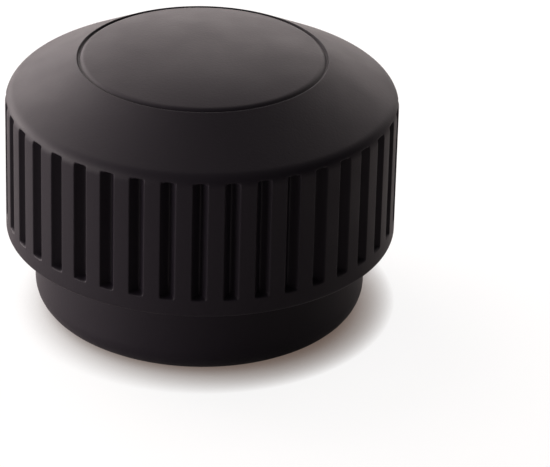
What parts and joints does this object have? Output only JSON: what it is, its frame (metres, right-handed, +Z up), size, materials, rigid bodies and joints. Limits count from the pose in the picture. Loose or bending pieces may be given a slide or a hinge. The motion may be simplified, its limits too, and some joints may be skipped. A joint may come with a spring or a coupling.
{
  "type": "tyre valve cap",
  "caption": "Screw-on moulded cap for a tyre valve: fluted head with sloping shoulder and raised disc, smooth collar and threaded socket.",
  "frame": {"origin": "centre of the open rim, on the plane that the cap stands on", "axes": "+Z up the cap's axis to its crown, -Z out of the threaded socket's mouth, -Y through the middle of a flute"},
  "size_m": [0.0122, 0.0122, 0.0087],
  "materials": {
    "moulded_plastic": "fine satin, as moulded"
  },
  "bodies": {
    "root": {"cap": "moulded_plastic"}
  },
  "joints": []
}
